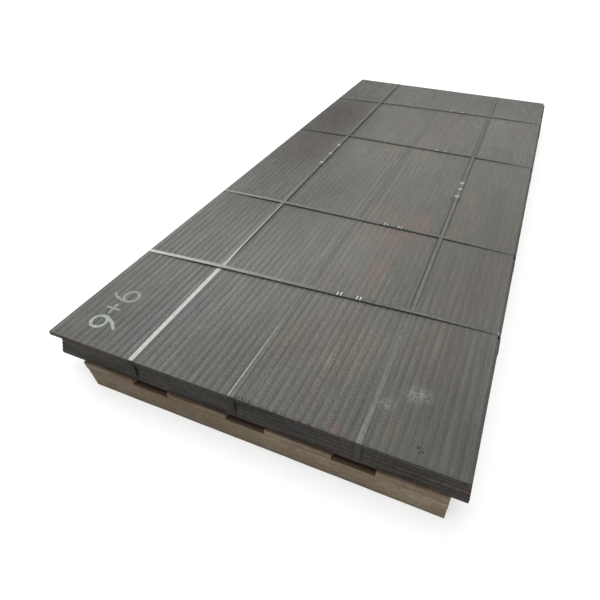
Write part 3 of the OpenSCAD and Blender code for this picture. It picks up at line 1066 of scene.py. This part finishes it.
def arc(x, y, radius_x, radius_y, start, end):
    """Points of part of an oval, degrees anticlockwise."""
    angles = np.radians(np.linspace(start, end, 28))
    return np.column_stack([x + radius_x * np.cos(angles), y + radius_y * np.sin(angles)])


# Painted size mark: strokes in a box one high, read to the right.
NINE_TAIL = [(0.62, 0.42), (0.52, 0.16), (0.36, 0.0)]
NINE = [np.concatenate([arc(0.34, 0.70, 0.30, 0.27, -10, 350), NINE_TAIL])]
PLUS = [np.array([(0.06, 0.46), (0.54, 0.50)]), np.array([(0.29, 0.72), (0.31, 0.24)])]
SIX_NECK = [(0.52, 1.0), (0.26, 0.74), (0.08, 0.42)]
SIX = [np.concatenate([SIX_NECK, arc(0.36, 0.28, 0.29, 0.26, 165, 525)])]
# Each figure: strokes, place of its foot along x and start along y, size, stroke width
# and freshness.
MARK = [
    (NINE, -0.645, -1.402, 0.1, 0.011, 0.1),
    (PLUS, -0.648, -1.482, 0.116, 0.0095, 0.2),
    (SIX, -0.62, -1.556, 0.104, 0.0125, 0.9),
]
# Section of a stroke: share of its half width, and height above the beads. Then the step
# of mesh along a stroke.
MARK_SECTION = [(-1, -0.0002), (-0.85, 0.0003), (0, 0.0004), (0.85, 0.0003), (1, -0.0002)]
MARK_STEP = 0.002


def make_mark(x, y, z, material):
    """The painted mark, laid on the beads."""
    rng = np.random.default_rng(MARK_SEED)
    all_points = []
    all_faces = []
    fresh = []
    rows = y[0]
    for strokes, foot, begin, size, breadth, freshness in MARK:
        for stroke in strokes:
            walk = distances(stroke)
            fine = np.linspace(0, walk[-1], max(4, int(walk[-1] * size / MARK_STEP)))
            way_x, way_y = np.interp(fine, walk, stroke[:, 0]), np.interp(fine, walk, stroke[:, 1])
            line = np.column_stack([foot + size * way_y, begin - size * way_x])
            tangent = unit(np.gradient(line, axis=0))
            across = np.column_stack([-tangent[:, 1], tangent[:, 0]])
            half = breadth / 2 * (1 + waves(rng, fine, 0.25, (0.5, 0.21)))
            rings = []
            for share, proud in MARK_SECTION:
                spot = line + across * (share * half)[:, None]
                row = np.clip(np.searchsorted(rows, spot[:, 1]), 1, len(rows) - 1)
                level = [np.interp(spot[i, 0], x[:, row[i]], z[:, row[i]]) for i in range(len(spot))]
                rings.append(np.column_stack([spot, np.array(level) + proud]))
            points = np.stack(rings, 1)
            first = sum(len(part) for part in all_points)
            all_faces += sweep_faces(first, *points.shape[:2], False)
            all_points.append(points.reshape(-1, 3))
            fresh.append(np.full(len(all_points[-1]), freshness))
    piece = make_piece("size_mark", np.concatenate(all_points), all_faces, [material])
    face_outward(piece)
    set_values(piece, "fresh", np.concatenate(fresh))
    smooth(piece, 60)


def dress_seals():
    """The crimped seals keep their solids, with eased edges and a zinc finish."""
    crosswise, lengthwise = seal_material("seal_cross", "X"), seal_material("seal_long", "Y")
    for name in SEALS:
        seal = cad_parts[name]
        seal.data.materials.clear()
        seal.data.materials.append(crosswise if name.startswith("seal_cross") else lengthwise)
        ease = seal.modifiers.new("ease", "BEVEL")
        ease.width = SEAL_EASE
        ease.segments = 2
        ease.limit_method = "ANGLE"
        ease.angle_limit = math.radians(40)


def make_camera():
    """Camera where the photograph was taken."""
    data = bpy.data.cameras.new("camera")
    data.sensor_width = CAMERA_SENSOR_MM
    data.lens = CAMERA_LENS_MM
    data.clip_end = CAMERA_REACH
    camera = add_object("camera", data)
    yaw = Matrix.Rotation(-CAMERA_YAW, 4, "Z")
    pitch = Matrix.Rotation(math.pi / 2 - CAMERA_PITCH, 4, "X")
    roll = Matrix.Rotation(CAMERA_ROLL, 4, "Z")
    camera.matrix_world = Matrix.Translation(CAMERA_PLACE) @ yaw @ pitch @ roll
    bpy.context.scene.camera = camera


def make_floor():
    """Pale floor that shows white and keeps the shadow."""
    mesh = bpy.data.meshes.new("floor")
    corners = [(-1, -1), (1, -1), (1, 1), (-1, 1)]
    points = [(x * FLOOR_REACH, y * FLOOR_REACH, -FLOOR_DROP) for x, y in corners]
    mesh.from_pydata(points, [], [(0, 1, 2, 3)])
    graph = Graph("floor")
    inputs = {"Base Color": (0.5, 0.5, 0.5, 1.0), "Roughness": 0.9, "Specular IOR Level": 0.1}
    surface = graph.add("BsdfPrincipled", inputs)
    rays = graph.nodes.new("ShaderNodeLightPath").outputs
    kinds = ("Is Camera Ray", "Is Glossy Ray", "Is Transmission Ray")
    seen = graph.chain("MAXIMUM", *(rays[kind] for kind in kinds))
    glow = graph.add("Emission", {"Strength": graph.times(seen, FLOOR_GLOW)})
    mesh.materials.append(graph.show(graph.add("AddShader", {0: surface, 1: glow})))
    add_object("floor", mesh)


def make_world():
    """Even soft light, pale at the horizon and dimmer overhead."""
    graph = Graph("studio", world=True)
    height = graph.axis("Z", graph.add("TexCoord", {}, "Generated"))
    inputs = {"Color": (1.0, 1.0, 1.0, 1.0), "Strength": (height, 0.02, 0.42, 0.95, 0.32)}
    bpy.context.scene.world = graph.show(graph.add("Background", inputs))


def make_lights():
    """A wide soft light overhead and a bright panel behind on the left."""
    data = bpy.data.lights.new("overhead", "SUN")
    data.energy = SUN_STRENGTH
    data.angle = SUN_SPREAD
    overhead = add_object("overhead", data)
    overhead.rotation_euler = (-SUN_TILT, SUN_TILT, 0.0)

    level = math.cos(PANEL_RISE)
    toward = Vector((-math.sin(PANEL_TURN) * level, math.cos(PANEL_TURN) * level, math.sin(PANEL_RISE)))
    data = bpy.data.lights.new("panel", "AREA")
    data.shape = "RECTANGLE"
    data.size, data.size_y = PANEL_SIZE
    data.energy = PANEL_POWER
    panel = add_object("panel", data)
    panel.location = Vector(PANEL_AIM) + toward * PANEL_DISTANCE
    panel.rotation_euler = toward.to_track_quat("Z", "Y").to_euler()
    panel.visible_camera = False


def build():
    """All pieces of the bundle."""
    overlay, lip_dirt_and_shade, cut_edge = overlay_material(), lip_material(), cut_edge_material()
    strap, timber = [strap_material(), strap_side_material()], timber_material()
    for number, node in enumerate(PLATES):
        seed = PLATE_SEED + number
        if node == TOP_PLATE:
            surface = make_plate(node, TOP_ROWS, FINE_COLUMNS, CROWN, seed, [overlay, cut_edge])
        else:
            make_plate(node, LOWER_ROWS, PLAIN_COLUMNS, FILLED_CROWN, seed, [lip_dirt_and_shade, cut_edge])
    make_mark(*surface, paint_material())
    for number, node in enumerate(STRAP_LOOKS):
        make_strap(node, STRAP_SEED + number, strap, lap_under=node == "long_strap_middle")
    dress_seals()
    for number, node in enumerate(BOARDS):
        tuck = DECK_TUCK if number == 0 else 0.0
        make_timber(node, True, BOARD_SEED + number, timber, tuck)
    for number, node in enumerate(BEARERS):
        make_timber(node, False, BEARER_SEED + number, timber)


bpy.context.scene.view_settings.view_transform = "Standard"
make_camera()
make_world()
make_lights()
make_floor()
build()
